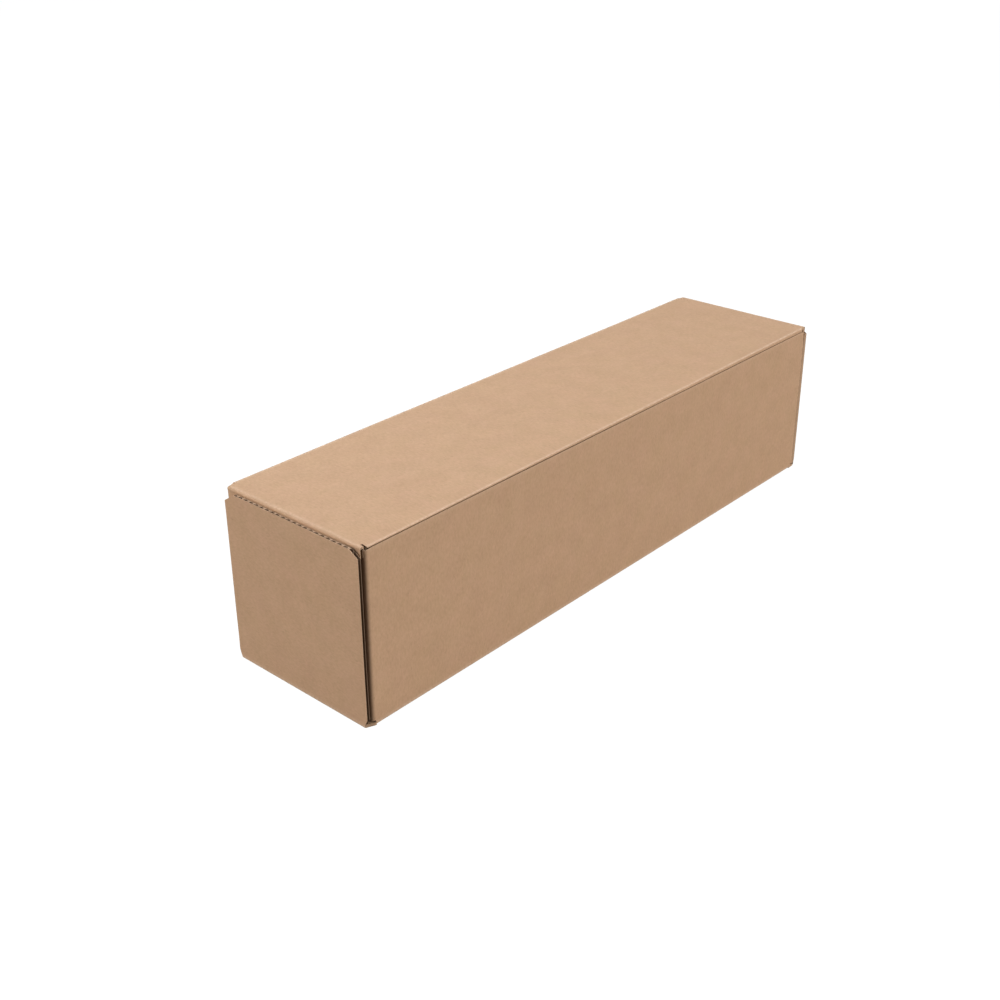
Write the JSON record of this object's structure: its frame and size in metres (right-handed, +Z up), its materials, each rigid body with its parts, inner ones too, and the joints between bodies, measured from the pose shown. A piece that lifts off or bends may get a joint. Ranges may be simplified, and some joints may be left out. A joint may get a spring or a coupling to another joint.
{
  "type": "long mailing box",
  "caption": "Long square-section mailing box of brown fluted card, with a hinged tuck-in lid and fold-up end flaps.",
  "frame": {"origin": "centre of the bottom face, on the surface that the box stands on", "axes": "+X along the box towards the far end flap, +Y towards the wall that the lid hinges on, +Z up"},
  "size_m": [0.3346, 0.0822, 0.0842],
  "materials": {
    "kraft_board": "matte"
  },
  "bodies": {
    "tray": {"tray": "kraft_board"},
    "lid": {"lid": "kraft_board"},
    "near_end_flap": {"near_end_flap": "kraft_board"},
    "far_end_flap": {"far_end_flap": "kraft_board"}
  },
  "joints": [
    {"name": "lid_fold", "type": "hinge", "parent": "tray", "child": "lid", "pos_m": [0, 0.04081, 0.08391], "axis": [-1, 0, 0], "range_deg": [0, 170]},
    {"name": "near_end_fold", "type": "hinge", "parent": "tray", "child": "near_end_flap", "pos_m": [-0.16701, 0, 0.00029], "axis": [0, -1, 0], "range_deg": [0, 90]},
    {"name": "far_end_fold", "type": "hinge", "parent": "tray", "child": "far_end_flap", "pos_m": [0.16701, 0, 0.00029], "axis": [0, 1, 0], "range_deg": [0, 90]}
  ]
}
